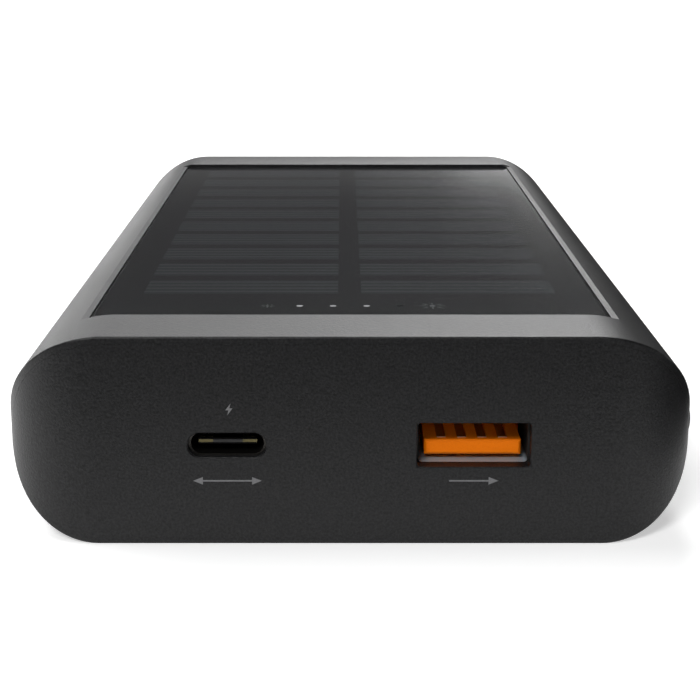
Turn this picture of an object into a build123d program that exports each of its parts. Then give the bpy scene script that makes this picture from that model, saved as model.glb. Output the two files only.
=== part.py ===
from build123d import *
import os

# Solar phone charger: a flat power bank with round sides, cut square at both ends.
# The top shell carries the solar panel in a shallow full-width recess. The bottom shell
# carries the two end walls, with a USB-C and a USB-A socket in the front one.
# Millimetres. X is across, +Y runs away from the port end, +Z is up, and the origin is
# the middle of the base.

os.makedirs("parts", exist_ok=True)

# ---- Body ----
body_length = 150.0
body_width = 80.5
body_height = 24.5
base_radius = 11.5
side_flat = 0.5
plan_radius = 11.5
plan_overrun = 0.15
edge_radius = 0.25
shell_wall = 1.8
cover_skin = 0.8
seam_gap = 0.02
lip_height = 1.5
lip_clearance = 0.1

# ---- Recess and panel in the top ----
front_rim = 10.9
back_rim = 10.2
ramp_length = 3.8
ramp_drop = 0.25
recess_depth = 0.65
side_margin = 9.45
ledge_width = 1.2
corner_radius = 1.0
panel_gap = 0.15
panel_sink = 0.08
glass_thickness = 1.0
cell_thickness = 0.2
ribbon_thickness = 0.05
backing_thickness = 0.8
adhesive_thickness = 0.3
adhesive_width = 3.0
floor_thickness = 1.2
pocket_wall = 1.2

# ---- Solar cells ----
cell_columns = 2
cell_rows = 10
cell_front_margin = 15.45
cell_back_margin = 4.35
cell_side_margin = 4.6
column_gap = 2.95
row_gap = 3.15
ribbon_width = 1.5
ribbon_offset = 6.0

# ---- Level lights ----
light_count = 4
light_pitch = 4.12
light_setback = 8.5
light_diameter = 0.8
light_hole_clearance = 0.1
guide_bar_depth = 2.4
guide_bar_overhang = 1.2
led_size = 1.0
led_height = 0.6
led_gap = 0.3

# ---- Ports ----
port_spacing = 28.0
port_height = 11.85
mouth_chamfer = 0.15
socket_clearance = 0.1
socket_steel = 0.3
usb_c_width = 8.34
usb_c_height = 2.56
usb_c_length = 7.3
usb_c_sink = 1.0
usb_c_mouth_width = 8.9
usb_c_mouth_height = 2.84
usb_c_tongue_width = 6.69
usb_c_tongue_thickness = 0.7
usb_c_setback = 0.8
usb_c_block_depth = 2.4
usb_c_pad_width = 0.7
usb_c_pad_pitch = 0.85
usb_c_pad_inset = 0.4
usb_c_pad_thickness = 0.05
usb_c_plate_width = 1.65
usb_c_plate_thickness = 0.33
usb_a_width = 12.5
usb_a_height = 5.12
usb_a_corner = 0.4
usb_a_length = 13.5
usb_a_mouth_width = 12.93
usb_a_mouth_height = 5.16
usb_a_tongue_width = 11.1
usb_a_tongue_thickness = 1.74
usb_a_tongue_lift = 0.62
usb_a_tongue_chamfer = 0.25
usb_a_setback = 0.8
usb_a_block_depth = 3.0
usb_a_contact_count = 4
usb_a_contact_pitch = 2.35
usb_a_slot_width = 1.1
usb_a_slot_depth = 0.5
usb_a_slot_inset = 1.0
usb_a_contact_width = 1.0
usb_a_contact_thickness = 0.25
usb_a_tip_length = 0.3
usb_a_tip_proud = 0.1
usb_a_tab_width = 1.6
usb_a_tab_length = 4.0
usb_a_tab_setback = 2.0

# ---- Main board ----
board_thickness = 1.2
board_side_margin = 9.25
board_depth = 21.6
board_front_gap = 0.4
board_notch_clearance = 0.2
screw_side_inset = 4.0
screw_setback = 19.3
screw_shaft = 1.6
screw_head = 3.6
screw_head_height = 1.2
screw_length = 6.0
screw_clearance = 0.05
boss_diameter = 4.4

# ---- Parts on the main board ----
inductor_size = 9.6
inductor_height = 4.2
inductor_edge = 0.4
inductor_side_inset = 12.5
inductor_setback = 15.8
capacitor_diameter = 6.3
capacitor_height = 5.8
capacitor_pitch = 7.4
capacitor_side_inset = 13.4
capacitor_setback = 18.0
chip_height = 0.9
chip_offset = 2.0
charge_chip_size = 5.0
charge_chip_setback = 4.3
boost_chip_size = 4.0
boost_chip_setback = 11.3

# ---- Power button ----
button_length = 11.7
button_height = 4.1
button_clearance = 0.15
button_proud = 0.25
button_setback = 16.0
button_travel = 0.6
flange_overlap = 1.0
flange_thickness = 0.8
flange_setback = 0.65
stem_length_along = 3.0
stem_height = 2.0
switch_length = 6.0
switch_width = 3.5
switch_height = 2.9
switch_edge_inset = 0.2
plunger_length = 2.4
plunger_height = 1.2
plunger_reach = 1.2
plunger_inside = 1.0

# ---- Batteries ----
battery_side_margin = 10.25
battery_front = 29.0
battery_back = 9.0
battery_edge = 2.0
battery_clearance = 0.3
pad_thickness = 0.5
pad_width = 14.0
pad_spread = 30.0
pad_end_inset = 3.0
tape_thickness = 0.2
foam_thickness = 0.9
tab_width = 5.0
tab_thickness = 0.15
tab_spread = 24.0
protection_width = 40.0
protection_thickness = 1.0
protection_setback = 2.5
protection_margin = 2.1
protection_lead_spread = 10.0
protection_lead_drop = 1.0
wire_diameter = 1.0
wire_sides = 6
wire_bend = 2.5
wire_spread = 3.0
wire_setback = 2.0
wire_hole_clearance = 0.5

# ---- Ribs and snap hooks ----
rib_thickness = 1.2
rib_height = 4.5
rib_pitch = 40.0
stop_height = 9.0
stop_width = 50.0
hook_pitch = 40.0
hook_count = 3
hook_length = 8.0
hook_thickness = 1.2
hook_wall_gap = 0.95
hook_bite = 1.25
hook_drop = 3.5
hook_catch = 1.7
hook_ramp = 1.1
hook_clearance = 0.15

# ---- Places worked out from those sizes ----
front = -body_length / 2
back = body_length / 2
shoulder_radius = body_height - side_flat - base_radius
parting_height = base_radius + side_flat / 2
side_inner = body_width / 2 - shell_wall
root_inset = shell_wall / 2

recess_front = front + front_rim
recess_back = back - back_rim
recess_middle = (recess_front + recess_back) / 2
pocket_length = recess_back - recess_front
panel_width = body_width - 2 * side_margin
panel_length = pocket_length - 2 * panel_gap
panel_front = recess_middle - panel_length / 2
ledge_height = body_height - recess_depth
glass_top = ledge_height - panel_sink
glass_bottom = glass_top - glass_thickness
cell_bottom = glass_bottom - cell_thickness
backing_top = cell_bottom - ribbon_thickness
backing_bottom = backing_top - backing_thickness
pocket_floor = backing_bottom - adhesive_thickness
ceiling_height = pocket_floor - floor_thickness

cell_field_width = panel_width - 2 * cell_side_margin
cell_field_length = panel_length - cell_front_margin - cell_back_margin
cell_width = (cell_field_width - (cell_columns - 1) * column_gap) / cell_columns
cell_length = (cell_field_length - (cell_rows - 1) * row_gap) / cell_rows
cell_middle = panel_front + cell_front_margin + cell_field_length / 2
column_pitch = cell_width + column_gap
row_pitch = cell_length + row_gap

board_top = port_height - usb_c_height / 2 - socket_steel
board_bottom = board_top - board_thickness
board_front = front + shell_wall + board_front_gap
board_back = board_front + board_depth
board_width = body_width - 2 * board_side_margin
screw_spacing = board_width - 2 * screw_side_inset
screw_row = board_front + screw_setback
light_row = panel_front + light_setback
light_hole = light_diameter + 2 * light_hole_clearance
guide_bar_length = (light_count - 1) * light_pitch + 2 * guide_bar_overhang
usb_a_sink = shell_wall + socket_clearance
usb_a_slot_top = port_height - usb_a_height / 2 + usb_a_tongue_lift + usb_a_tongue_thickness

battery_width = body_width - 2 * battery_side_margin
battery_start = front + battery_front
battery_end = back - battery_back
battery_length = battery_end - battery_start
battery_middle = (battery_start + battery_end) / 2
stack_height = ceiling_height - shell_wall
battery_thickness = (stack_height - pad_thickness - tape_thickness - foam_thickness) / 2
lower_cell_bottom = shell_wall + pad_thickness
upper_cell_bottom = lower_cell_bottom + battery_thickness + tape_thickness
battery_top = upper_cell_bottom + battery_thickness
protection_back = battery_start - protection_setback
protection_front = protection_back - protection_thickness
wire_hole = wire_diameter + 2 * wire_hole_clearance
solar_wire_start = protection_front - wire_hole / 2
lead_row = board_back - wire_setback

button_middle = front + button_setback
button_level = board_top + switch_height / 2
switch_outer = board_width / 2 - switch_edge_inset
plunger_tip = switch_outer + plunger_reach
hook_face = side_inner - hook_wall_gap
hook_bottom = parting_height - hook_drop


# ---- Shapes that several pieces share ----
def body_section(inset):
    """Cross-section of the body, set in from its skin."""
    with BuildSketch(Plane.XZ) as section:
        with Locations((0, body_height / 2)):
            Rectangle(body_width - 2 * inset, body_height - 2 * inset)
        fillet(section.vertices().group_by(Axis.Y)[-1], shoulder_radius - inset)
        fillet(section.vertices().group_by(Axis.Y)[0], base_radius - inset)
    return section.sketch


def body_plan(inset):
    """Outline of the body seen from above, set in from its walls.

    It is drawn a little wider than the body, so that its rounded corners cross the sides
    at a slight angle and the sharp end edges finish there.
    """
    width = body_width + 2 * plan_overrun - 2 * inset
    with BuildSketch(Plane.XY) as plan:
        RectangleRounded(width, body_length - 2 * inset, plan_radius - inset)
    return plan.sketch


def body_block(skin_inset, wall_inset):
    """The body as one block: its section run from end to end and trimmed to its plan."""
    with BuildPart() as block:
        extrude(body_section(skin_inset), amount=body_length / 2, both=True)
        extrude(body_plan(wall_inset), amount=body_height, mode=Mode.INTERSECT)
    return block.part


def standing_wall(skin_inset, wall_inset, lip):
    """Wall above the parting: as tall as the skin allows round the ends, a lip at the sides."""
    with BuildPart() as wall:
        add(body_block(skin_inset, 0))
        split(bisect_by=Plane.XY.offset(parting_height), keep=Keep.TOP)
        extrude(body_plan(wall_inset), amount=body_height, mode=Mode.SUBTRACT)
        with Locations((0, 0, parting_height + lip)):
            Box(
                body_width,
                body_length - 2 * plan_radius,
                body_height,
                align=(Align.CENTER, Align.CENTER, Align.MIN),
                mode=Mode.SUBTRACT,
            )
    return wall.part


def panel_outline(height, width, length, corner):
    """Rounded outline centred on the recess, at a height."""
    with BuildSketch(Plane.XY.offset(height)) as outline:
        with Locations((0, recess_middle)):
            RectangleRounded(width, length, corner)
    return outline.sketch


def port_plane(depth):
    """Plane that faces out of the port end, at a depth behind the front face."""
    return Plane.XZ.offset(-front - depth)


def usb_c_outline(depth, width, height):
    """Stadium outline of the USB-C port."""
    with BuildSketch(port_plane(depth)) as outline:
        with Locations((-port_spacing / 2, port_height)):
            SlotOverall(width, height)
    return outline.sketch


def usb_a_outline(depth, width, height):
    """Rounded outline of the USB-A port."""
    with BuildSketch(port_plane(depth)) as outline:
        with Locations((port_spacing / 2, port_height)):
            RectangleRounded(width, height, usb_a_corner)
    return outline.sketch


def button_outline(clearance):
    """Stadium outline of the power button, on a plane through the body's middle."""
    with BuildSketch(Plane.YZ) as outline:
        with Locations((button_middle, button_level)):
            SlotOverall(button_length + 2 * clearance, button_height + 2 * clearance)
    return outline.sketch


def write_part(piece, name):
    """Label a finished piece and write it."""
    piece.part.label = name
    export_step(piece.part, "parts/" + name + ".step")


# ---- Outer form ----
# The edges round both ends run down the corners and are softened a little.
with BuildPart() as outer_body:
    add(body_block(0, 0))
    end_edges = outer_body.edges().filter_by(Axis.Z, reverse=True)
    end_start = body_length / 2 - plan_radius
    fillet(end_edges.filter_by(lambda edge: abs(edge.center().Y) > end_start), edge_radius)

# ---- Bottom shell ----
# Low ribs that keep the battery stack off the round sides, and a stop behind it.
with BuildPart() as cradle_ribs:
    with BuildSketch(Plane.XY.offset(root_inset)):
        with GridLocations(0, rib_pitch, 1, 2):
            Rectangle(body_width, rib_thickness)
        Rectangle(battery_width + 2 * battery_clearance, body_length, mode=Mode.SUBTRACT)
    extrude(amount=root_inset + rib_height)
    with BuildSketch(Plane.XY.offset(root_inset)):
        with Locations((0, battery_end + battery_clearance + rib_thickness / 2)):
            Rectangle(stop_width, rib_thickness)
    extrude(amount=root_inset + stop_height)
    add(body_block(root_inset, root_inset), mode=Mode.INTERSECT)

with BuildPart() as bottom_shell:
    add(outer_body.part)
    split(bisect_by=Plane.XY.offset(parting_height), keep=Keep.BOTTOM)
    add(body_block(shell_wall, shell_wall), mode=Mode.SUBTRACT)
    add(standing_wall(cover_skin + seam_gap, shell_wall, lip_height))
    add(cradle_ribs.part)
    # Bosses under the main board, drilled for its screws.
    with BuildSketch(Plane.XY.offset(root_inset)):
        with Locations((0, screw_row)):
            with GridLocations(screw_spacing, 0, 2, 1):
                Circle(boss_diameter / 2)
    extrude(amount=board_bottom - root_inset)
    with BuildSketch(Plane.XY.offset(board_bottom)):
        with Locations((0, screw_row)):
            with GridLocations(screw_spacing, 0, 2, 1):
                Circle(screw_shaft / 2 + screw_clearance)
    extrude(amount=-(screw_length - board_thickness + screw_clearance), mode=Mode.SUBTRACT)
    # Port mouths through the front wall, chamfered outside. The USB-C socket reaches into
    # a pocket in the wall, and the USB-A socket stands behind it.
    mouth_c = (usb_c_mouth_width, usb_c_mouth_height)
    mouth_a = (usb_a_mouth_width, usb_a_mouth_height)
    extrude(usb_c_outline(0, *mouth_c), amount=-shell_wall, mode=Mode.SUBTRACT)
    extrude(usb_a_outline(0, *mouth_a), amount=-shell_wall, mode=Mode.SUBTRACT)
    bevelled_c = usb_c_outline(0, *(size + 2 * mouth_chamfer for size in mouth_c))
    bevelled_a = usb_a_outline(0, *(size + 2 * mouth_chamfer for size in mouth_a))
    extrude(bevelled_c, amount=-mouth_chamfer, taper=45, mode=Mode.SUBTRACT)
    extrude(bevelled_a, amount=-mouth_chamfer, taper=45, mode=Mode.SUBTRACT)
    around_c = 2 * (socket_steel + socket_clearance)
    pocket_depth = usb_c_sink - socket_clearance
    pocket_c = usb_c_outline(pocket_depth, usb_c_width + around_c, usb_c_height + around_c)
    extrude(pocket_c, amount=-shell_wall, mode=Mode.SUBTRACT)
    # Lower half of the button's opening, and the windows that the snap hooks catch in.
    extrude(button_outline(button_clearance), amount=body_width, mode=Mode.SUBTRACT)
    with Locations((0, 0, hook_bottom)):
        with GridLocations(2 * hook_face, hook_pitch, 2, hook_count):
            Box(
                2 * (hook_bite + hook_clearance),
                hook_length + 2 * hook_clearance,
                hook_catch + hook_clearance,
                align=(Align.CENTER, Align.CENTER, Align.MIN),
                mode=Mode.SUBTRACT,
            )
write_part(bottom_shell, "bottom_shell")

# ---- Top shell ----
# Hollow under the shoulders and rims. The floor under the panel stays.
with BuildPart() as top_hollow:
    add(body_block(shell_wall, shell_wall))
    with Locations((0, recess_middle, ceiling_height)):
        Box(
            body_width,
            pocket_length + 2 * pocket_wall,
            body_height,
            align=(Align.CENTER, Align.CENTER, Align.MIN),
            mode=Mode.SUBTRACT,
        )

# Hooks that hang from the shoulders and snap into the bottom shell's windows.
with BuildPart() as snap_hook:
    with BuildSketch(Plane.XZ):
        with BuildLine():
            Polyline(
                (hook_face - hook_thickness, body_height),
                (hook_face - hook_thickness, hook_bottom),
                (hook_face, hook_bottom),
                (hook_face + hook_bite, hook_bottom + hook_ramp),
                (hook_face + hook_bite, hook_bottom + hook_catch),
                (hook_face, hook_bottom + hook_catch),
                (hook_face, body_height),
                close=True,
            )
        make_face()
        mirror(about=Plane.YZ)
    extrude(amount=hook_length / 2, both=True)

with BuildPart() as hook_rows:
    with GridLocations(0, hook_pitch, 1, hook_count):
        add(snap_hook.part)
    add(body_block(cover_skin, root_inset), mode=Mode.INTERSECT)

with BuildPart() as top_shell:
    add(outer_body.part)
    split(bisect_by=Plane.XY.offset(parting_height), keep=Keep.TOP)
    room_inset = shell_wall + lip_clearance
    room_lip = lip_height + lip_clearance
    add(standing_wall(cover_skin, room_inset, room_lip), mode=Mode.SUBTRACT)
    add(top_hollow.part, mode=Mode.SUBTRACT)
    add(hook_rows.part)
    # Shallow recess that runs out through both shoulders, with a ramp behind it.
    ledge_span = panel_width + 2 * ledge_width
    recess = panel_outline(ledge_height, ledge_span, pocket_length, corner_radius)
    extrude(recess, amount=recess_depth, mode=Mode.SUBTRACT)
    with BuildSketch(Plane.YZ):
        with BuildLine():
            Polyline(
                (recess_back - corner_radius, body_height),
                (recess_back - corner_radius, body_height - ramp_drop),
                (recess_back, body_height - ramp_drop),
                (recess_back + ramp_length, body_height),
                close=True,
            )
        make_face()
    extrude(amount=body_width / 2, both=True, mode=Mode.SUBTRACT)
    # Pocket for the panel, and the holes in its floor for the light guide and the wires.
    pocket_width = panel_width + 2 * panel_gap
    pocket = panel_outline(pocket_floor, pocket_width, pocket_length, corner_radius)
    extrude(pocket, amount=body_height, mode=Mode.SUBTRACT)
    with BuildSketch(Plane.XY.offset(ceiling_height)):
        with Locations((0, light_row)):
            guide_clearance = 2 * light_hole_clearance
            Rectangle(guide_bar_length + guide_clearance, guide_bar_depth + guide_clearance)
        with Locations((0, solar_wire_start)):
            SlotOverall(wire_spread + wire_hole, wire_hole)
    extrude(amount=floor_thickness, mode=Mode.SUBTRACT)
    extrude(button_outline(button_clearance), amount=body_width, mode=Mode.SUBTRACT)
write_part(top_shell, "top_shell")

# ---- Solar panel ----
with BuildPart() as solar_glass:
    extrude(panel_outline(glass_bottom, panel_width, panel_length, corner_radius), glass_thickness)
write_part(solar_glass, "solar_glass")

with BuildPart() as solar_cells:
    with Locations((0, cell_middle, cell_bottom)):
        with GridLocations(column_pitch, row_pitch, cell_columns, cell_rows):
            Box(
                cell_width,
                cell_length,
                cell_thickness,
                align=(Align.CENTER, Align.CENTER, Align.MIN),
            )
write_part(solar_cells, "solar_cells")

# Two flat ribbons join the cells of each column underneath.
with BuildPart() as cell_ribbons:
    for column_middle in (-column_pitch / 2, column_pitch / 2):
        with Locations((column_middle, cell_middle, backing_top)):
            with GridLocations(2 * ribbon_offset, 0, 2, 1):
                Box(
                    ribbon_width,
                    cell_field_length,
                    ribbon_thickness,
                    align=(Align.CENTER, Align.CENTER, Align.MIN),
                )
write_part(cell_ribbons, "cell_ribbons")

with BuildPart() as solar_backing:
    backing = panel_outline(backing_bottom, panel_width, panel_length, corner_radius)
    extrude(backing, backing_thickness)
    with BuildSketch(Plane.XY.offset(backing_bottom)):
        with Locations((0, light_row)):
            with GridLocations(light_pitch, 0, light_count, 1):
                Circle(light_hole / 2)
    extrude(amount=backing_thickness, mode=Mode.SUBTRACT)
write_part(solar_backing, "solar_backing")

with BuildPart() as panel_adhesive:
    with BuildSketch(Plane.XY.offset(pocket_floor)):
        with Locations((0, recess_middle)):
            Rectangle(panel_width - 2 * panel_gap, panel_length - 2 * panel_gap)
            inner_width = panel_width - 2 * panel_gap - 2 * adhesive_width
            inner_length = panel_length - 2 * panel_gap - 2 * adhesive_width
            Rectangle(inner_width, inner_length, mode=Mode.SUBTRACT)
    extrude(amount=adhesive_thickness)
write_part(panel_adhesive, "panel_adhesive")

# ---- Level lights ----
with BuildPart() as indicator_leds:
    with Locations((0, light_row, board_top)):
        with GridLocations(light_pitch, 0, light_count, 1):
            Box(led_size, led_size, led_height, align=(Align.CENTER, Align.CENTER, Align.MIN))
write_part(indicator_leds, "indicator_leds")

# A clear bar that stands over the diodes, with four rods up through the panel's backing.
with BuildPart() as light_guide:
    bar_bottom = board_top + led_height + led_gap
    with BuildSketch(Plane.XY.offset(bar_bottom)):
        with Locations((0, light_row)):
            Rectangle(guide_bar_length, guide_bar_depth)
    extrude(amount=backing_bottom - bar_bottom)
    with BuildSketch(Plane.XY.offset(backing_bottom)):
        with Locations((0, light_row)):
            with GridLocations(light_pitch, 0, light_count, 1):
                Circle(light_diameter / 2)
    extrude(amount=glass_bottom - backing_bottom)
write_part(light_guide, "light_guide")

# ---- Main board ----
with BuildPart() as main_board:
    with BuildSketch(Plane.XY.offset(board_bottom)):
        with Locations((0, board_front + board_depth / 2)):
            Rectangle(board_width, board_depth)
        # Notch that the USB-A socket sinks into.
        notch_back = front + usb_a_sink + usb_a_length + board_notch_clearance
        notch_width = usb_a_width + 2 * (socket_steel + board_notch_clearance)
        with Locations((port_spacing / 2, notch_back - body_length / 2)):
            Rectangle(notch_width, body_length, mode=Mode.SUBTRACT)
        with Locations((0, screw_row)):
            with GridLocations(screw_spacing, 0, 2, 1):
                Circle(screw_shaft / 2 + screw_clearance, mode=Mode.SUBTRACT)
    extrude(amount=board_thickness)
write_part(main_board, "main_board")

with BuildPart() as board_screws:
    with BuildSketch(Plane.XY.offset(board_top)):
        with Locations((0, screw_row)):
            with GridLocations(screw_spacing, 0, 2, 1):
                Circle(screw_shaft / 2)
    extrude(amount=-screw_length)
    with BuildSketch(Plane.XY.offset(board_top)):
        with Locations((0, screw_row)):
            with GridLocations(screw_spacing, 0, 2, 1):
                Circle(screw_head / 2)
    extrude(amount=screw_head_height)
write_part(board_screws, "board_screws")

# ---- USB-C socket ----
with BuildPart() as usb_c_shell:
    outer_c = (usb_c_width + 2 * socket_steel, usb_c_height + 2 * socket_steel)
    extrude(usb_c_outline(usb_c_sink, *outer_c), amount=-usb_c_length)
    inside_c = usb_c_outline(usb_c_sink, usb_c_width, usb_c_height)
    extrude(inside_c, amount=-usb_c_length, mode=Mode.SUBTRACT)
write_part(usb_c_shell, "usb_c_shell")

block_front_c = usb_c_sink + usb_c_length - usb_c_block_depth
tongue_reach_c = usb_c_length - usb_c_block_depth - usb_c_setback


def usb_c_plates():
    """The two plates that stiffen the tongue's ends, flush with its tip."""
    with BuildSketch(port_plane(block_front_c)) as plates:
        with Locations((-port_spacing / 2, port_height)):
            with GridLocations(usb_c_tongue_width - usb_c_plate_width, 0, 2, 1):
                Rectangle(usb_c_plate_width, usb_c_plate_thickness)
    return plates.sketch


with BuildPart() as usb_c_tongue:
    block_c = usb_c_outline(block_front_c, usb_c_width, usb_c_height)
    extrude(block_c, amount=-usb_c_block_depth)
    with BuildSketch(port_plane(block_front_c)):
        with Locations((-port_spacing / 2, port_height)):
            Rectangle(usb_c_tongue_width, usb_c_tongue_thickness)
    extrude(amount=tongue_reach_c)
    extrude(usb_c_plates(), amount=tongue_reach_c, mode=Mode.SUBTRACT)
write_part(usb_c_tongue, "usb_c_tongue")

# Plates in the tongue's ends, and power and earth pads above and below them.
with BuildPart() as usb_c_contacts:
    extrude(usb_c_plates(), amount=tongue_reach_c)
    pad_middle = usb_c_tongue_width / 2 - usb_c_pad_pitch
    pad_offset = usb_c_tongue_thickness + usb_c_pad_thickness
    with BuildSketch(port_plane(block_front_c)):
        with Locations((-port_spacing / 2, port_height)):
            with GridLocations(2 * pad_middle, pad_offset, 2, 2):
                with GridLocations(usb_c_pad_pitch, 0, 2, 1):
                    Rectangle(usb_c_pad_width, usb_c_pad_thickness)
    extrude(amount=tongue_reach_c - usb_c_pad_inset)
write_part(usb_c_contacts, "usb_c_contacts")

# ---- USB-A socket ----
with BuildPart() as usb_a_shell:
    outer_a = (usb_a_width + 2 * socket_steel, usb_a_height + 2 * socket_steel)
    extrude(usb_a_outline(usb_a_sink, *outer_a), amount=-usb_a_length)
    # Tabs that lie on the board beside the notch.
    tab_middle = board_front + usb_a_tab_setback + usb_a_tab_length / 2
    with Locations((port_spacing / 2, tab_middle, board_top)):
        Box(
            notch_width + 2 * usb_a_tab_width,
            usb_a_tab_length,
            socket_steel,
            align=(Align.CENTER, Align.CENTER, Align.MIN),
        )
    inside_a = usb_a_outline(usb_a_sink, usb_a_width, usb_a_height)
    extrude(inside_a, amount=-usb_a_length, mode=Mode.SUBTRACT)
write_part(usb_a_shell, "usb_a_shell")

block_front_a = usb_a_sink + usb_a_length - usb_a_block_depth
tongue_reach_a = usb_a_length - usb_a_block_depth - usb_a_setback
slot_reach_a = tongue_reach_a - usb_a_slot_inset


def usb_a_strips(depth, width, bottom, thickness):
    """A row of four rectangles at the contacts' places, on a plane at a depth."""
    with BuildSketch(port_plane(depth)) as strips:
        with Locations((port_spacing / 2, bottom + thickness / 2)):
            with GridLocations(usb_a_contact_pitch, 0, usb_a_contact_count, 1):
                Rectangle(width, thickness)
    return strips.sketch


with BuildPart() as usb_a_tongue:
    with BuildSketch(port_plane(block_front_a)):
        tongue_middle = usb_a_slot_top - usb_a_tongue_thickness / 2
        with Locations((port_spacing / 2, tongue_middle)):
            Rectangle(usb_a_tongue_width, usb_a_tongue_thickness)
    extrude(amount=tongue_reach_a)
    chamfer(usb_a_tongue.edges().group_by(Axis.Y)[0], usb_a_tongue_chamfer)
    block_a = usb_a_outline(block_front_a, usb_a_width, usb_a_height)
    extrude(block_a, amount=-usb_a_block_depth)
    # Slots in the tongue's top that the contacts lie in, closed at its tip.
    slot_floor = usb_a_slot_top - usb_a_slot_depth
    slots = usb_a_strips(block_front_a, usb_a_slot_width, slot_floor, 2 * usb_a_slot_depth)
    extrude(slots, amount=slot_reach_a, mode=Mode.SUBTRACT)
write_part(usb_a_tongue, "usb_a_tongue")

# Each contact lies on its slot's floor and turns up at the tip.
with BuildPart() as usb_a_contacts:
    strip_sizes = (usb_a_contact_width, slot_floor, usb_a_contact_thickness)
    extrude(usb_a_strips(block_front_a, *strip_sizes), amount=slot_reach_a)
    tip_height = usb_a_slot_depth + usb_a_tip_proud
    tip_depth = block_front_a - slot_reach_a
    tips = usb_a_strips(tip_depth, usb_a_contact_width, slot_floor, tip_height)
    extrude(tips, amount=-usb_a_tip_length)
write_part(usb_a_contacts, "usb_a_contacts")

# ---- Parts on the main board ----
with BuildPart() as power_inductor:
    with BuildSketch(Plane.XY.offset(board_top)):
        with Locations((inductor_side_inset - board_width / 2, board_front + inductor_setback)):
            Rectangle(inductor_size, inductor_size)
    extrude(amount=inductor_height)
    chamfer(power_inductor.edges().group_by(Axis.Z)[-1], inductor_edge)
write_part(power_inductor, "power_inductor")

with BuildPart() as capacitors:
    with BuildSketch(Plane.XY.offset(board_top)):
        with Locations((board_width / 2 - capacitor_side_inset, board_front + capacitor_setback)):
            with GridLocations(capacitor_pitch, 0, 2, 1):
                Circle(capacitor_diameter / 2)
    extrude(amount=capacitor_height)
write_part(capacitors, "capacitors")

with BuildPart() as controller_chips:
    with BuildSketch(Plane.XY.offset(board_top)):
        with Locations((-chip_offset, board_front + charge_chip_setback)):
            Rectangle(charge_chip_size, charge_chip_size)
        with Locations((-chip_offset, board_front + boost_chip_setback)):
            Rectangle(boost_chip_size, boost_chip_size)
    extrude(amount=chip_height)
write_part(controller_chips, "controller_chips")

# ---- Power button and its switch ----
with BuildPart() as power_button:
    extrude(button_outline(0), amount=body_width)
    add(body_block(-button_proud, -button_proud), mode=Mode.INTERSECT)
    # The key ends behind the shell's wall in a flange that keeps it in, with a stem.
    flange_outer = side_inner - flange_setback
    flange_inner = flange_outer - flange_thickness
    with Locations((0, button_middle, button_level)):
        Box(2 * flange_inner, body_length, body_height, mode=Mode.SUBTRACT)
    with BuildSketch(Plane.YZ.offset(flange_inner)):
        with Locations((button_middle, button_level)):
            SlotOverall(button_length + 2 * flange_overlap, button_height + 2 * flange_overlap)
    extrude(amount=flange_thickness)
    with BuildSketch(Plane.YZ.offset(plunger_tip)):
        with Locations((button_middle, button_level)):
            Rectangle(stem_length_along, stem_height)
    extrude(amount=flange_inner - plunger_tip)
write_part(power_button, "power_button")

with BuildPart() as tact_switch:
    with Locations((switch_outer - switch_width / 2, button_middle, board_top)):
        Box(
            switch_width,
            switch_length,
            switch_height,
            align=(Align.CENTER, Align.CENTER, Align.MIN),
        )
    # Guide that the plunger runs in.
    with BuildSketch(Plane.YZ.offset(switch_outer)):
        with Locations((button_middle, button_level)):
            guide_length = plunger_length + 2 * button_clearance
            guide_height = plunger_height + 2 * button_clearance
            Rectangle(guide_length, guide_height)
    extrude(amount=-(plunger_inside + button_travel + button_clearance), mode=Mode.SUBTRACT)
write_part(tact_switch, "tact_switch")

with BuildPart() as switch_plunger:
    with BuildSketch(Plane.YZ.offset(plunger_tip)):
        with Locations((button_middle, button_level)):
            Rectangle(plunger_length, plunger_height)
    extrude(amount=-(plunger_reach + plunger_inside))
write_part(switch_plunger, "switch_plunger")


# ---- Batteries ----
def pouch_cell(bottom):
    """Lithium-polymer pouch cell lying flat, round along its sides, with its underside at a height."""
    with BuildPart() as cell:
        with Locations((0, battery_middle, bottom)):
            Box(
                battery_width,
                battery_length,
                battery_thickness,
                align=(Align.CENTER, Align.CENTER, Align.MIN),
            )
        fillet(cell.edges().filter_by(Axis.Y), battery_edge)
    return cell


write_part(pouch_cell(lower_cell_bottom), "battery_cell_lower")
write_part(pouch_cell(upper_cell_bottom), "battery_cell_upper")


def battery_strips(bottom, thickness):
    """Two strips that run along the battery stack, with their underside at a height."""
    with BuildPart() as strips:
        with Locations((0, battery_middle, bottom)):
            with GridLocations(pad_spread, 0, 2, 1):
                Box(
                    pad_width,
                    battery_length - 2 * pad_end_inset,
                    thickness,
                    align=(Align.CENTER, Align.CENTER, Align.MIN),
                )
    return strips


write_part(battery_strips(shell_wall, pad_thickness), "battery_pads")
write_part(battery_strips(lower_cell_bottom + battery_thickness, tape_thickness), "battery_tape")
write_part(battery_strips(battery_top, foam_thickness), "battery_foam")

# Board across the front of the cells, and the tabs welded to it.
protection_bottom = lower_cell_bottom + protection_margin
protection_top = battery_top - protection_margin
with BuildPart() as protection_board:
    with Locations((0, protection_back, protection_bottom)):
        Box(
            protection_width,
            protection_thickness,
            protection_top - protection_bottom,
            align=(Align.CENTER, Align.MAX, Align.MIN),
        )
write_part(protection_board, "protection_board")

with BuildPart() as battery_tabs:
    for cell_bottom_height in (lower_cell_bottom, upper_cell_bottom):
        with Locations((0, protection_back, cell_bottom_height + battery_thickness / 2)):
            with GridLocations(tab_spread, 0, 2, 1):
                Box(
                    tab_width,
                    protection_setback,
                    tab_thickness,
                    align=(Align.CENTER, Align.MIN, Align.CENTER),
                )
write_part(battery_tabs, "battery_tabs")


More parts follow.
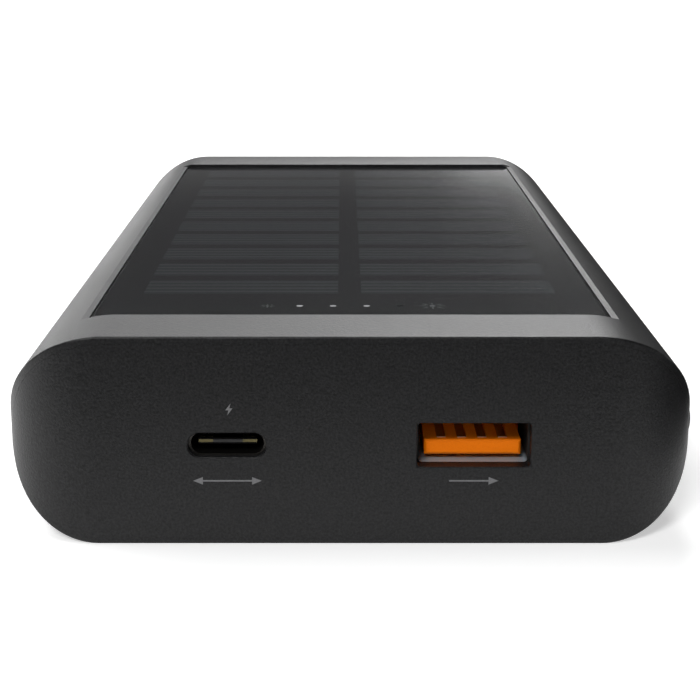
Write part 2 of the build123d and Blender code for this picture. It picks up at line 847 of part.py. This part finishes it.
# ---- Wires ----
def bent_wire(points, bend_radius):
    """Wire swept along straight runs joined by arcs, with a few flat sides in place of a round."""
    with BuildPart() as wire:
        with BuildLine() as route:
            FilletPolyline(*points, radius=bend_radius)
        with BuildSketch(Plane(origin=route.line @ 0, z_dir=route.line % 0)):
            RegularPolygon(wire_diameter / 2, wire_sides)
        sweep(path=route.line)
    return wire


# The panel's two leads drop through the floor slot and step forward on to the board.
wire_step = solar_wire_start - lead_row
wire_middle = (board_top + backing_bottom) / 2
for name, wire_x in (("solar_lead_red", -wire_spread / 2), ("solar_lead_black", wire_spread / 2)):
    solar_lead = bent_wire(
        [
            (wire_x, solar_wire_start, backing_bottom),
            (wire_x, solar_wire_start, wire_middle + wire_step / 2),
            (wire_x, lead_row, wire_middle - wire_step / 2),
            (wire_x, lead_row, board_top),
        ],
        wire_bend,
    )
    write_part(solar_lead, name)

# The battery's leads leave the protection board's face and turn down on to the main board.
battery_wire_top = protection_top - protection_lead_drop
for name, wire_x in (
    ("battery_lead_red", -protection_lead_spread / 2),
    ("battery_lead_black", protection_lead_spread / 2),
):
    battery_lead = bent_wire(
        [
            (wire_x, protection_front, battery_wire_top),
            (wire_x, lead_row, battery_wire_top),
            (wire_x, lead_row, board_top),
        ],
        wire_bend,
    )
    write_part(battery_lead, name)
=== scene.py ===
import math

import bmesh
import bpy
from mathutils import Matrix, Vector


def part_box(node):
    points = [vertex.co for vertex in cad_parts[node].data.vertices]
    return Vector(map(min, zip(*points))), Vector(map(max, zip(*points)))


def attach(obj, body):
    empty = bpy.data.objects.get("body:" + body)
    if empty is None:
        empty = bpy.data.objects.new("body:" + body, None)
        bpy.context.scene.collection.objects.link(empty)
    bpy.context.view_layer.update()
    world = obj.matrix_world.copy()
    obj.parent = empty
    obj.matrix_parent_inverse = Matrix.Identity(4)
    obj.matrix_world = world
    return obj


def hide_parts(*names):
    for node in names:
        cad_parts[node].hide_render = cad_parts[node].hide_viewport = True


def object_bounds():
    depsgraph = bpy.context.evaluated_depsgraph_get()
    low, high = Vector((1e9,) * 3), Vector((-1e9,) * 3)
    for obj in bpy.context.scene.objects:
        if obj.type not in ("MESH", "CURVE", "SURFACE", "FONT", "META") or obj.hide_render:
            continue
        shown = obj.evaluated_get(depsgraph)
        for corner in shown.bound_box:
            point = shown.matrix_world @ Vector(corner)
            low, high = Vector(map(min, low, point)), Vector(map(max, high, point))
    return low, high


# Solar phone charger: a flat power bank, moulded in two dark shells, with a solar panel let
# into its top and two sockets in one end. Metres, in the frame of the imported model.

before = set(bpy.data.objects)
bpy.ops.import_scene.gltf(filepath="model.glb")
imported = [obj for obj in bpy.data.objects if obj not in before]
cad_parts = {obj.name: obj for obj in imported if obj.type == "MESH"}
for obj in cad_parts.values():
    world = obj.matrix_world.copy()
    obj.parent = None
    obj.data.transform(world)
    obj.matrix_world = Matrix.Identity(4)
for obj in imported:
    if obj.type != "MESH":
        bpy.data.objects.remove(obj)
cad_low, cad_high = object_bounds()
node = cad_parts


# ---- Moulded shells ----
# Two shells of dark PC/ABS, injection moulded in a spark-eroded tool, so every outer face has
# a fine even grain and no gloss. They snap together, and the top one laps over the end walls.
def colour(code):
    """Linear colour with full alpha, from an sRGB hex code."""
    channels = []
    for start in (1, 3, 5):
        share = int(code[start:start + 2], 16) / 255
        channels.append(share / 12.92 if share <= 0.04045 else ((share + 0.055) / 1.055) ** 2.4)
    return (*channels, 1.0)


def new_material(name, values):
    """A new material with these values on its shader; returns both."""
    material = bpy.data.materials.new(name)
    material.use_nodes = True
    shader = material.node_tree.nodes["Principled BSDF"]
    for socket, value in values.items():
        shader.inputs[socket].default_value = value
    return material, shader


def add_node(material, kind, links=None, values=None, **options):
    """Add a node, set its options and its inputs' values, and link inputs to sockets."""
    made = material.node_tree.nodes.new(kind)
    for name, option in options.items():
        setattr(made, name, option)
    for name, value in (values or {}).items():
        made.inputs[name].default_value = value
    for name, socket in (links or {}).items():
        material.node_tree.links.new(socket, made.inputs[name])
    return made


def paint(material, *objects):
    """Give the objects this material in place of any other."""
    for thing in objects:
        thing.data.materials.clear()
        thing.data.materials.append(material)


def grained(name, base, roughness, grain, depth, contrast=0.1, gloss=0.5, metallic=0.0):
    """A finish with an even grain, for plastics and metals alike.

    The grain's width and depth are in metres, and contrast is how far it changes the colour.
    The roughness wanders a little over patches of 25 mm, as on any moulded or rolled face.
    """
    wander, patch = 0.03, 0.025
    material, shader = new_material(name, {"Specular IOR Level": gloss, "Metallic": metallic})
    place = add_node(material, "ShaderNodeTexCoord")
    pits = add_node(
        material, "ShaderNodeTexNoise", {"Vector": place.outputs["Object"]},
        {"Scale": 1 / grain, "Detail": 2.0, "Roughness": 0.6},
    )
    bump = add_node(
        material, "ShaderNodeBump", {"Height": pits.outputs["Fac"]},
        {"Strength": 1.0, "Distance": depth},
    )
    patches = add_node(
        material, "ShaderNodeTexNoise", {"Vector": place.outputs["Object"]},
        {"Scale": 1 / patch, "Detail": 3.0},
    )
    rough = add_node(
        material, "ShaderNodeMapRange", {"Value": patches.outputs["Fac"]},
        {"To Min": roughness - wander, "To Max": roughness + wander},
    )
    speck = add_node(
        material, "ShaderNodeMapRange", {"Value": pits.outputs["Fac"]},
        {"From Min": 0.3, "From Max": 0.7, "To Min": 1.0 - contrast, "To Max": 1.0 + contrast},
    )
    tint = add_node(
        material, "ShaderNodeVectorMath", {"Scale": speck.outputs["Result"]},
        {0: colour(base)[:3]}, operation="SCALE",
    )
    material.node_tree.links.new(tint.outputs["Vector"], shader.inputs["Base Color"])
    material.node_tree.links.new(bump.outputs["Normal"], shader.inputs["Normal"])
    material.node_tree.links.new(rough.outputs["Result"], shader.inputs["Roughness"])
    return material


# Spark-eroded PC/ABS: near black, with a dull even sheen that breaks up into fine specks. The
# real grain, near 0.1 mm across, is too fine to show, so it is drawn 0.28 mm across.
shell_plastic = grained("grained_pc_abs", "#19191a", 0.42, 0.00028, 0.00005, 0.8, 0.34)
paint(shell_plastic, node["top_shell"], node["bottom_shell"])


# ---- Solar panel ----
# Monocrystalline cells under a hardened cover glass, laid on a black film. The glass is let
# into the recess, flush with its ledges, with a ground edge all round. Foam tape holds it.
def deselect():
    """Leave nothing selected."""
    bpy.ops.object.select_all(action="DESELECT")


def slab(low, high):
    """A new block between two corners, left selected."""
    deselect()
    bpy.ops.mesh.primitive_cube_add(size=1, location=(Vector(low) + Vector(high)) / 2)
    piece = bpy.context.object
    piece.dimensions = Vector(high) - Vector(low)
    bpy.ops.object.transform_apply(location=True, rotation=True, scale=True)
    return piece


def stands(edge):
    """Whether an edge stands upright: its ends differ in height."""
    return abs(edge.verts[0].co.z - edge.verts[1].co.z) > 0.0001


def bevel_edges(piece, picks, width, segments):
    """Bevel the edges of a piece that picks(edge) chooses."""
    bpy.ops.object.mode_set(mode="EDIT")
    bpy.ops.mesh.select_all(action="DESELECT")
    mesh = bmesh.from_edit_mesh(piece.data)
    for edge in mesh.edges:
        edge.select = picks(edge)
    bmesh.update_edit_mesh(piece.data)
    bpy.ops.mesh.bevel(offset=width, segments=segments, affect="EDGES")
    bpy.ops.object.mode_set(mode="OBJECT")


def settle(piece, name, material, body):
    """Name a finished piece, apply its place, and give it material and body."""
    deselect()
    piece.select_set(True)
    bpy.context.view_layer.objects.active = piece
    bpy.ops.object.transform_apply(location=True, rotation=True, scale=True)
    piece.name = piece.data.name = name
    paint(material, piece)
    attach(piece, body)


# The glass reaches a little way down into the film, so no air shows between them.
glass_low, glass_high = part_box("solar_glass")
corner_radius, ground_edge, bond = 0.001, 0.00006, 0.00003
cover_glass = slab((glass_low.x, glass_low.y, glass_low.z - bond), glass_high)
bevel_edges(cover_glass, stands, corner_radius, 8)


def on_top(edge):
    """Whether an edge runs along the top of the glass."""
    return min(vertex.co.z for vertex in edge.verts) > glass_high.z - 1e-6


bevel_edges(cover_glass, on_top, ground_edge, 2)

# Soda-lime glass with an etched face: it spreads a reflection into a soft glow, and hardly
# blurs what lies right under it. The etch itself is far too fine to show, so only its slow
# unevenness is drawn, about 1.7 mm across.
glass, shader = new_material(
    "etched_cover_glass",
    {"Base Color": colour("#c9cccf"), "IOR": 1.5, "Transmission Weight": 1.0},
)
place = add_node(glass, "ShaderNodeTexCoord")
etch = add_node(
    glass, "ShaderNodeTexNoise", {"Vector": place.outputs["Object"]},
    {"Scale": 600.0, "Detail": 3.0},
)
rough = add_node(
    glass, "ShaderNodeMapRange", {"Value": etch.outputs["Fac"]},
    {"To Min": 0.09, "To Max": 0.12},
)
glass.node_tree.links.new(rough.outputs["Result"], shader.inputs["Roughness"])
settle(cover_glass, "cover_glass", glass, "case")
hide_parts("solar_glass")

# Black PET film behind the cells: a flat dull grey under the glass. Its coating is smoother
# than the render can show, so its grain is drawn 0.5 mm across and very shallow.
film_inset, film_bottom, film_top = 0.0001, glass_low.z - 0.00015, glass_low.z - bond / 2
black_film = slab(
    (glass_low.x + film_inset, glass_low.y + film_inset, film_bottom),
    (glass_high.x - film_inset, glass_high.y - film_inset, film_top),
)
bevel_edges(black_film, stands, corner_radius - film_inset, 8)
film = grained("black_pet_film", "#202022", 0.5, 0.0005, 0.000004, 0.2)
settle(black_film, "black_film", film, "case")

# Silicon cells under a dark anti-reflection coat: near black with a trace of blue. Silver
# fingers are screen printed along each strip, 1.9 mm apart. They are really under 0.1 mm wide,
# and are drawn as dull lines of a third of that spacing, so that they show. Inputs 6 and 7 of
# a colour mix are its two colours.
finger_pitch, finger_share = 0.0019, 0.35
silicon, shader = new_material("coated_silicon_cell", {"Roughness": 0.45})
place = add_node(silicon, "ShaderNodeTexCoord")
split = add_node(silicon, "ShaderNodeSeparateXYZ", {"Vector": place.outputs["Object"]})
phase = add_node(
    silicon, "ShaderNodeMath", {0: split.outputs["Y"]}, {1: finger_pitch}, operation="DIVIDE",
)
step = add_node(silicon, "ShaderNodeMath", {0: phase.outputs["Value"]}, operation="FRACT")
finger = add_node(
    silicon, "ShaderNodeMath", {0: step.outputs["Value"]}, {1: finger_share},
    operation="LESS_THAN",
)
tint = add_node(
    silicon, "ShaderNodeMix", {"Factor": finger.outputs["Value"]},
    {6: colour("#35363a"), 7: colour("#4e4f54")}, data_type="RGBA",
)
silicon.node_tree.links.new(tint.outputs[2], shader.inputs["Base Color"])
paint(silicon, node["solar_cells"])

# Hidden layers of the panel. Tinned copper ribbon is a soft bright grey, with a faint mottle
# 0.4 mm across. Acrylic foam tape is dull and off-white, with cells of 0.3 mm.
tinned = grained("tinned_copper", "#b9b9b5", 0.35, 0.0004, 0.000002, 0.06, metallic=1.0)
paint(tinned, node["cell_ribbons"], node["battery_tabs"])
paint(film, node["solar_backing"])
tape = grained("acrylic_foam_tape", "#c9c5b8", 0.7, 0.0003, 0.00001)
paint(tape, node["panel_adhesive"], node["battery_tape"])


# ---- Printed marks ----
# Pad-printed grey ink: a spark over the left socket, and under each socket an arrow that says
# which way its current goes. Two small suns are printed on the film beside the level lights.
def printed(outline, middle, up, lift):
    """A thin printed shape: its (right, up) points about its middle, raised by lift."""
    deselect()
    bpy.ops.mesh.primitive_circle_add(vertices=len(outline), radius=0.001, fill_type="NGON")
    piece = bpy.context.object
    for vertex, (u, v) in zip(piece.data.vertices, outline):
        vertex.co = (middle[0] + u, middle[1] + up[1] * v, middle[2] + up[2] * v)
    bpy.ops.object.mode_set(mode="EDIT")
    bpy.ops.mesh.select_all(action="SELECT")
    bpy.ops.mesh.extrude_region_move(TRANSFORM_OT_translate={"value": lift})
    bpy.ops.mesh.select_all(action="SELECT")
    bpy.ops.mesh.normals_make_consistent(inside=False)
    bpy.ops.object.mode_set(mode="OBJECT")
    return piece


def arrow(length, heads):
    """Outline of a thin arrow about its middle, with one head or two."""
    end, neck = length / 2, length / 2 - 0.0011
    head, shaft = 0.00045, 0.00009
    right = [(neck, -head), (end, 0.0), (neck, head), (neck, shaft)]
    if heads == 2:
        left = [(-neck, shaft), *((-u, -v) for u, v in right)]
    else:
        left = [(-end, shaft), (-end, -shaft)]
    return [(neck, -shaft), *right, *left]


# Pad-printing ink is matt and mid grey, and stands 0.02 mm proud of the plastic. Its speckle,
# from the grain under it, is drawn 0.25 mm across.
ink = grained("grey_pad_print", "#767678", 0.55, 0.00025, 0.000003, 0.08)
ink_bed, ink_lift = cad_low.y + 0.00003, (0.0, -0.00005, 0.0)
left_port, right_port = -0.014, 0.014
spark_height, arrow_height = 0.0161, 0.00764
spark = [(0.0002, 0.0007), (-0.0004, -0.0001), (-0.00005, -0.0001), (-0.0002, -0.0007),
         (0.0004, 0.00012), (0.00005, 0.00012)]
for name, outline, x, z in (
    ("spark_mark", spark, left_port + 0.0003, spark_height),
    ("in_out_mark", arrow(0.0078, 2), left_port, arrow_height),
    ("out_mark", arrow(0.0056, 1), right_port, arrow_height),
):
    mark = printed(outline, (x, ink_bed, z), (0, 0, 1), ink_lift)
    settle(mark, name, ink, "case")

# The film's ink is paler, because it is seen through the glass. A sun is a round disc with
# eight rays, each a little narrower at its far end.
film_ink = grained("grey_film_print", "#98989a", 0.6, 0.00025, 0.000002, 0.08)
film_bed, film_lift = glass_low.z - 0.00002, (0.0, 0.0, 0.000012)
light_row = (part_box("light_guide")[0].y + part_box("light_guide")[1].y) / 2
disc_sides, ray_count = 12, 8
for name, x, size in (("small_sun_mark", -0.01015, 0.0009), ("sun_mark", 0.01015, 0.0016)):
    middle, up = (x, light_row, film_bed), (0, 1, 0)
    disc = []
    for side in range(disc_sides):
        angle = math.tau * side / disc_sides
        disc.append((size * 0.24 * math.cos(angle), size * 0.24 * math.sin(angle)))
    sun = printed(disc, middle, up, film_lift)
    ray = [(size * 0.5, -size * 0.05), (size, -size * 0.04),
           (size, size * 0.04), (size * 0.5, size * 0.05)]
    rays = []
    for turn in range(ray_count):
        angle = math.tau * turn / ray_count
        turned = [(u * math.cos(angle) - v * math.sin(angle),
                   u * math.sin(angle) + v * math.cos(angle)) for u, v in ray]
        rays.append(printed(turned, middle, up, film_lift))
    deselect()
    for piece in (*rays, sun):
        piece.select_set(True)
    bpy.context.view_layer.objects.active = sun
    bpy.ops.object.join()
    settle(sun, name, film_ink, "case")


# ---- Level lights ----
# Four diodes on the board shine up a moulded guide of clear acrylic, whose four rod tips meet
# the glass. Three of them are lit, and the one nearest the large sun is dark.

# Clear acrylic, painted near black and glossy: painted shade for the dark inside of the closed
# case. It glows at the lit tips alone.
unlit_from, tip_depth = 0.004, 0.0001
guide, shader = new_material("clear_acrylic_guide", {
    "Base Color": colour("#050505"), "Roughness": 0.15, "IOR": 1.49, "Emission Strength": 0.8,
})
place = add_node(guide, "ShaderNodeTexCoord")
split = add_node(guide, "ShaderNodeSeparateXYZ", {"Vector": place.outputs["Object"]})
lit = add_node(
    guide, "ShaderNodeMath", {0: split.outputs["X"]}, {1: unlit_from}, operation="LESS_THAN",
)
tip = add_node(
    guide, "ShaderNodeMath", {0: split.outputs["Z"]},
    {1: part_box("light_guide")[1].z - tip_depth}, operation="GREATER_THAN",
)
glow = add_node(
    guide, "ShaderNodeMath", {0: lit.outputs["Value"], 1: tip.outputs["Value"]},
    operation="MULTIPLY",
)
shine = add_node(
    guide, "ShaderNodeMix", {"Factor": glow.outputs["Value"]},
    {6: colour("#000000"), 7: colour("#ffffff")}, data_type="RGBA",
)
guide.node_tree.links.new(shine.outputs[2], shader.inputs["Emission Color"])
paint(guide, node["light_guide"])

# The diodes are cast in milky epoxy, smooth and pale. Its cloudiness is drawn 0.5 mm across.
diode = grained("diode_epoxy", "#e8e6d8", 0.3, 0.0005, 0.000001, 0.04)
paint(diode, node["indicator_leds"])


# ---- Sockets ----
# Each socket is a rolled steel shell, tin plated or black, round a moulded tongue that carries
# gold-plated contacts. The USB-A tongue is orange and the USB-C tongue black. Both sockets are
# fixed to the front edge of the main board.

# Dull tin plate: a cool grey metal. Faces that stand upright are painted a dark, warm grey:
# painted shade and painted reflection of the dark socket round them. The rolling lines, really
# a few hundredths of a millimetre apart, are drawn 0.11 mm apart and 1.4 mm long.
steel, shader = new_material("tin_plated_steel", {"Metallic": 1.0})
place = add_node(steel, "ShaderNodeTexCoord")
facing = add_node(steel, "ShaderNodeSeparateXYZ", {"Vector": place.outputs["Normal"]})
level = add_node(steel, "ShaderNodeMath", {0: facing.outputs["Z"]}, operation="ABSOLUTE")
# Painted shade: the colour goes from dark and warm on upright faces to cool grey on level ones.
tint = add_node(
    steel, "ShaderNodeMix", {"Factor": level.outputs["Value"]},
    {6: colour("#3c3a38"), 7: colour("#ccdee8")}, data_type="RGBA",
)
steel.node_tree.links.new(tint.outputs[2], shader.inputs["Base Color"])
along = add_node(
    steel, "ShaderNodeMapping", {"Vector": place.outputs["Object"]},
    {"Scale": (1.0, 0.08, 1.0)},
)
rolled = add_node(
    steel, "ShaderNodeTexNoise", {"Vector": along.outputs["Vector"]},
    {"Scale": 9000.0, "Detail": 2.0},
)
rough = add_node(
    steel, "ShaderNodeMapRange", {"Value": rolled.outputs["Fac"]},
    {"To Min": 0.62, "To Max": 0.78},
)
steel.node_tree.links.new(rough.outputs["Result"], shader.inputs["Roughness"])
paint(steel, node["usb_a_shell"], node["board_screws"])

# Black nickel: a smoky metal that shows as a thin soft ring round the mouth. The plating's
# grain is finer than shows, and is drawn 0.3 mm across.
dark_steel = grained(
    "black_nickel_steel", "#4a4845", 0.42, 0.0003, 0.000001, 0.06, metallic=1.0,
)
paint(dark_steel, node["usb_c_shell"])

# Liquid-crystal polymer: a hard, satin, evenly coloured plastic. Its glass fibres, about
# 0.01 mm thick, are drawn as a faint mottle 0.2 mm across.
orange = grained("orange_lcp", "#ff7f00", 0.5, 0.0002, 0.000002, 0.04, 0.15)
paint(orange, node["usb_a_tongue"])
black_plastic = grained("black_lcp", "#060606", 0.5, 0.0002, 0.000002)
paint(black_plastic, node["tact_switch"])

# The same black plastic on the thin tongue, where the steel plate in its middle shows as a
# grey line across the tip, 0.34 mm high.
tongue_low, tongue_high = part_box("usb_c_tongue")
plate_half = 0.00017
thin_tongue, shader = new_material(
    "black_lcp_on_steel_plate", {"Roughness": 0.6, "Specular IOR Level": 0.1},
)
place = add_node(thin_tongue, "ShaderNodeTexCoord")
split = add_node(thin_tongue, "ShaderNodeSeparateXYZ", {"Vector": place.outputs["Object"]})
plate = add_node(
    thin_tongue, "ShaderNodeMath", {0: split.outputs["Z"]},
    {1: (tongue_low.z + tongue_high.z) / 2, 2: plate_half}, operation="COMPARE",
)
tint = add_node(
    thin_tongue, "ShaderNodeMix", {"Factor": plate.outputs["Value"]},
    {6: colour("#020202"), 7: colour("#4e4e4e")}, data_type="RGBA",
)
thin_tongue.node_tree.links.new(tint.outputs[2], shader.inputs["Base Color"])
paint(thin_tongue, node["usb_c_tongue"])

# Gold plate over nickel: dull yellow along a contact's spring. The faces of its blunt tip,
# which point out of the socket, are painted pale and made rougher: a painted highlight.
gold, shader = new_material("gold_plated_contact", {"Metallic": 1.0})
place = add_node(gold, "ShaderNodeTexCoord")
facing = add_node(gold, "ShaderNodeSeparateXYZ", {"Vector": place.outputs["Normal"]})
# Painted highlight: faces that point out of the socket are given a pale, near-white colour.
tip = add_node(
    gold, "ShaderNodeMath", {0: facing.outputs["Y"]}, {1: -0.5}, operation="LESS_THAN",
)
tint = add_node(
    gold, "ShaderNodeMix", {"Factor": tip.outputs["Value"]},
    {6: colour("#8c7448"), 7: colour("#f4e4d4")}, data_type="RGBA",
)
gold.node_tree.links.new(tint.outputs[2], shader.inputs["Base Color"])
rough = add_node(
    gold, "ShaderNodeMapRange", {"Value": tip.outputs["Value"]},
    {"To Min": 0.32, "To Max": 0.6},
)
gold.node_tree.links.new(rough.outputs["Result"], shader.inputs["Roughness"])
paint(gold, node["usb_a_contacts"])

# A thinner gold flash on the small contacts: darker and greyer, with a mottle of 0.3 mm.
thin_gold = grained("thin_gold_flash", "#7a7252", 0.45, 0.0003, 0.000001, 0.05, metallic=1.0)
paint(thin_gold, node["usb_c_contacts"])


# ---- Power button ----
# A small key of PC/ABS in the long side, next to the sockets' end, which slides in and presses
# a white acetal plunger on the board's switch.

# The key is a little paler than the shells, and its grain is shallower, as fingers polish it.
# It is drawn 0.22 mm across. Acetal is waxy and off-white, with a mottle of 0.3 mm.
key_plastic = grained("grained_key", "#232325", 0.44, 0.00022, 0.000004)
paint(key_plastic, node["power_button"])
acetal = grained("white_acetal", "#c9c5b8", 0.7, 0.0003, 0.00001)
paint(acetal, node["switch_plunger"])


# ---- Inside ----
# Nothing of this shows on a closed charger: the board and its parts, the pouch cells with
# their protection board, foam, tape and leads. Grains are drawn at about their real size.

# Solder mask is a glossy green lacquer, with the fibre's weave just showing through.
board = grained("green_solder_mask", "#0e5a34", 0.35, 0.0008, 0.000004, 0.12)
paint(board, node["main_board"], node["protection_board"])

# Moulded epoxy on the chips: black and matt.
epoxy = grained("black_moulded_epoxy", "#060606", 0.5, 0.0002, 0.000002)
paint(epoxy, node["controller_chips"])

# Aluminium, laminated under a satin film on the cells and drawn into cans on the capacitors:
# a soft silver grey with shallow dents 1.5 mm across.
aluminium = grained("satin_aluminium", "#b4b6ba", 0.45, 0.0015, 0.00001, 0.05, metallic=0.6)
paint(aluminium, node["battery_cell_lower"], node["battery_cell_upper"], node["capacitors"])

# Open-cell foam, and the inductor's pressed iron powder: black and very dull.
foam = grained("black_foam", "#1a1a1a", 0.9, 0.0004, 0.00005)
paint(foam, node["battery_pads"], node["battery_foam"])
iron_powder = grained("pressed_iron_powder", "#1a1a1a", 0.9, 0.0004, 0.00005)
paint(iron_powder, node["power_inductor"])

# Silicone sleeves: soft, smooth and slightly shiny.
for name, code in (("red", "#a01818"), ("black", "#111111")):
    sleeve = grained(name + "_silicone_sleeve", code, 0.35, 0.0004, 0.000002)
    paint(sleeve, node["battery_lead_" + name], node["solar_lead_" + name])


# ---- Floor, light and camera ----
# A pale floor that runs on past the view, ten soft boxes and two black cards, as in a small
# studio. The boxes behind skim the charger's top, and the end wall gets little light.

# Matt pale paper. It keeps the charger's shadow, and for rays from the camera, off gloss and
# through glass it is lifted to white, more so further from the charger.
deselect()
bpy.ops.mesh.primitive_circle_add(vertices=96, radius=8.0, fill_type="NGON")
floor = bpy.context.object
floor.name = "floor"
paper, shader = new_material("matt_pale_paper", {
    "Base Color": colour("#e6e6e6"), "Roughness": 0.9, "Specular IOR Level": 0.0,
    "Emission Color": colour("#ffffff"),
})
rays = add_node(paper, "ShaderNodeLightPath")
seen = add_node(
    paper, "ShaderNodeMath",
    {0: rays.outputs["Is Camera Ray"], 1: rays.outputs["Is Glossy Ray"]}, operation="MAXIMUM",
)
seen = add_node(
    paper, "ShaderNodeMath",
    {0: seen.outputs["Value"], 1: rays.outputs["Is Transmission Ray"]}, operation="MAXIMUM",
)
place = add_node(paper, "ShaderNodeTexCoord")
reach = add_node(
    paper, "ShaderNodeVectorMath", {"Vector": place.outputs["Object"]}, operation="LENGTH",
)
fade = add_node(
    paper, "ShaderNodeMapRange", {"Value": reach.outputs["Value"]},
    {"From Min": 0.15, "From Max": 1.2, "To Min": 0.5, "To Max": 1.0},
)
lift = add_node(
    paper, "ShaderNodeMath", {0: seen.outputs["Value"], 1: fade.outputs["Result"]},
    operation="MULTIPLY",
)
paper.node_tree.links.new(lift.outputs["Value"], shader.inputs["Emission Strength"])
paint(paper, floor)

# A dim white world, for the little light that a studio's walls send back.
world = bpy.data.worlds.new("studio")
bpy.context.scene.world = world
world.use_nodes = True
world.node_tree.nodes["Background"].inputs["Color"].default_value = colour("#ffffff")
world.node_tree.nodes["Background"].inputs["Strength"].default_value = 0.04

# Each box is aimed at the charger's middle. The first three light the rims and the left side
# from behind, and right_box the right. The three low ovals overlap into one soft glow that the
# glass mirrors at its far right, and far_box adds a faint band along its far end. The last two
# light the end wall from the front and the top from the left.
for name, shape, spot, size, power in (
    ("back_box", "RECTANGLE", (0.15, 0.86, 0.82), (0.2, 0.2), 5.5),
    ("wide_box", "RECTANGLE", (-0.04, 1.028, 0.618), (0.7, 0.2), 2.8),
    ("left_box", "RECTANGLE", (-0.502, 1.077, 0.167), (0.48, 0.1), 0.95),
    ("right_box", "RECTANGLE", (1.148, 0.308, 0.167), (0.2, 0.1), 0.6),
    ("low_box_narrow", "ELLIPSE", (0.205, 1.177, 0.128), (0.11, 0.1), 0.075),
    ("low_box", "ELLIPSE", (0.19, 1.18, 0.128), (0.21, 0.1), 0.065),
    ("low_box_wide", "ELLIPSE", (0.18, 1.182, 0.128), (0.34, 0.1), 0.055),
    ("far_box", "RECTANGLE", (-0.03, 1.19, 0.13), (0.5, 0.08), 0.045),
    ("front_box", "RECTANGLE", (-0.28, -0.88, 0.77), (0.35, 0.35), 8.0),
    ("top_box", "RECTANGLE", (-0.62, 0.15, 1.02), (0.4, 0.4), 5.0),
):
    lamp = bpy.data.lights.new(name, "AREA")
    lamp.shape = shape
    lamp.size, lamp.size_y = size
    lamp.energy = power
    box = bpy.data.objects.new(name, lamp)
    bpy.context.scene.collection.objects.link(box)
    box.location = spot
    box.rotation_euler = (-Vector(spot)).to_track_quat("-Z", "Y").to_euler()
    box.visible_camera = False

# Black cards lie on the floor, before the sockets and along the right side. They cast no
# shadow. Both darken what the charger mirrors, and the right one also takes the floor's soft
# light off the right shoulder.
black_card, shader = new_material(
    "black_card", {"Base Color": colour("#000000"), "Specular IOR Level": 0.0},
)
for name, low, high, takes_soft_light in (
    ("front_card", (-0.6, -0.7, 0.0002), (1.5, -0.118, 0.0012), False),
    ("right_card", (0.062, -0.1, 0.0002), (1.5, 0.9, 0.0012), True),
):
    card = slab(low, high)
    card.name = name
    paint(black_card, card)
    card.visible_camera = card.visible_shadow = card.visible_transmission = False
    card.visible_diffuse = takes_soft_light

# The camera looks at the end with the sockets from a little above, with a narrow view.
camera = bpy.data.cameras.new("camera")
camera.sensor_width = 36.0
camera.lens = 83.8
camera.shift_x = 0.011
camera.clip_start, camera.clip_end = 0.01, 50.0
viewer = bpy.data.objects.new("camera", camera)
bpy.context.scene.collection.objects.link(viewer)
viewer.location = (-0.00094, -0.2508, 0.0682)
viewer.rotation_euler = (math.radians(75.58), 0.0, 0.0)
bpy.context.scene.camera = viewer
bpy.context.scene.view_settings.view_transform = "Standard"
